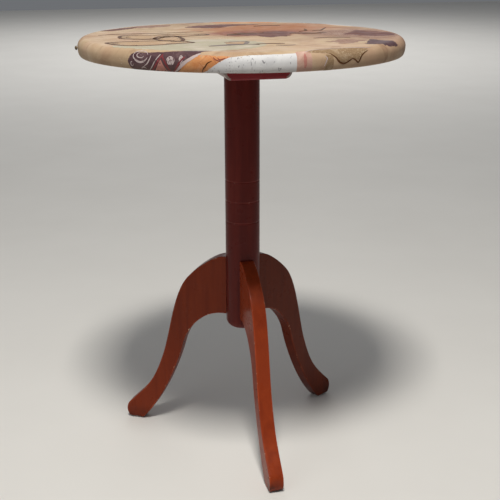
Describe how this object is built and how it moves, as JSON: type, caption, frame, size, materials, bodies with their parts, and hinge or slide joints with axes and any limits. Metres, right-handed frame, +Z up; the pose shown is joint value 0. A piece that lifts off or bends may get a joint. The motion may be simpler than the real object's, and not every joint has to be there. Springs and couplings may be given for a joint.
{
  "type": "tilt top table",
  "caption": "Round-topped pedestal table on a plain column with shaped board legs; the top tips up to vertical on pins and a slide bolt locks it level.",
  "frame": {"origin": "on the floor under the column's axis", "axes": "+Z up, the front leg and the opening edge of the top towards -Y, the tilt pins along X at the rear"},
  "size_m": [0.5531, 0.55, 0.746],
  "materials": {
    "brown_varnish": "glossy dark red-brown varnish, worn at the edges",
    "red_paint": "dark red paint, satin",
    "bare_wood": "bare board",
    "dark_wood": "stained, matt",
    "dowel_wood": "bare hardwood",
    "varnished_paper": "printed paper under satin varnish",
    "dark_iron": "dark, slightly worn",
    "old_brass": "dull old brass",
    "pale_pad": "pale grey, matt"
  },
  "bodies": {
    "base": {"column": "brown_varnish", "foot_pad_front": "pale_pad", "foot_pad_left": "pale_pad", "foot_pad_right": "pale_pad", "keeper_angle": "old_brass", "keeper_screw_left": "old_brass", "keeper_screw_right": "old_brass", "leg_dowel_front_lower": "dowel_wood", "leg_dowel_front_upper": "dowel_wood", "leg_dowel_left_lower": "dowel_wood", "leg_dowel_left_upper": "dowel_wood", "leg_dowel_right_lower": "dowel_wood", "leg_dowel_right_upper": "dowel_wood", "leg_front": "brown_varnish", "leg_left": "brown_varnish", "leg_right": "brown_varnish", "pivot_block": "red_paint", "pivot_pin_left": "dark_iron", "pivot_pin_right": "dark_iron", "pivot_washer_left": "dark_iron", "pivot_washer_right": "dark_iron", "tenon_wedge": "dowel_wood"},
    "top": {"batten_left": "dark_wood", "batten_right": "dark_wood", "batten_screw_left_front": "dark_iron", "batten_screw_left_middle": "dark_iron", "batten_screw_left_rear": "dark_iron", "batten_screw_right_front": "dark_iron", "batten_screw_right_middle": "dark_iron", "batten_screw_right_rear": "dark_iron", "catch_plate": "old_brass", "catch_screw_front_left": "old_brass", "catch_screw_front_right": "old_brass", "catch_screw_rear_left": "old_brass", "catch_screw_rear_right": "old_brass", "printed_cover": "varnished_paper", "rim_stud": "dark_iron", "tabletop": "bare_wood"},
    "bolt": {"catch_bolt": "old_brass", "catch_knob": "old_brass"}
  },
  "joints": [
    {"name": "top_tilt", "type": "hinge", "parent": "base", "child": "top", "pos_m": [0, 0.06, 0.7025], "axis": [-1, 0, 0], "range_deg": [0, 90]},
    {"name": "bolt_slide", "type": "slide", "parent": "top", "child": "bolt", "axis": [0, 1, 0], "range_m": [0, 0.008]}
  ]
}
